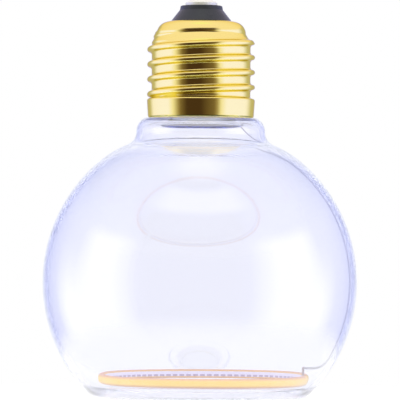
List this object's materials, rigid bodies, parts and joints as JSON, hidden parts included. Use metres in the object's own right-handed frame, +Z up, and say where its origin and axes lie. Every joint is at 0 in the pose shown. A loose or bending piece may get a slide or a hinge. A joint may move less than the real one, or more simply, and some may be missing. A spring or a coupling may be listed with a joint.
{
  "type": "globe bulb",
  "caption": "Clear glass globe bulb with a flat foot, a brass screw cap and a ring-shaped LED filament lying near the foot, standing cap up.",
  "frame": {"origin": "centre of the flat glass foot, on the surface that the bulb stands on", "axes": "+Z up the bulb's axis to the centre contact; the ring's gap is close to +X"},
  "size_m": [0.0762, 0.0762, 0.0969],
  "materials": {
    "clear_glass": "clear blown glass, faint lavender tint",
    "polished_brass": "polished, gold toned",
    "black_insulator": "glossy black",
    "tinned_contact": "pale tinned metal",
    "cement": "matt, pale",
    "board": "white solder mask",
    "resistor_body": "painted ceramic",
    "capacitor_can": "dark sleeve on an aluminium can",
    "package": "moulded black",
    "flat_resistor": "black film on ceramic",
    "wire": "drawn wire",
    "solder": "bright solder",
    "strip": "pale flexible strip",
    "pad": "dark plated pad",
    "led_chip": "bare LED chip",
    "phosphor": "amber phosphor in silicone",
    "terminal": "dark metal tab"
  },
  "bodies": {
    "root": {"glass_globe": "clear_glass", "cap_shell": "polished_brass", "cap_insulator": "black_insulator", "centre_contact": "tinned_contact", "cap_cement": "cement", "driver_board": "board", "fusible_resistor": "resistor_body", "bulk_capacitor": "capacitor_can", "bridge_rectifier": "package", "driver_chip": "package", "chip_resistors": "flat_resistor", "shell_lead": "wire", "lead_joints": "solder", "filament_lead_live": "wire", "filament_lead_return": "wire", "filament_strip": "strip", "filament_chips": "led_chip", "filament_pads": "pad", "filament_phosphor": "phosphor", "filament_terminals": "terminal"}
  },
  "joints": []
}
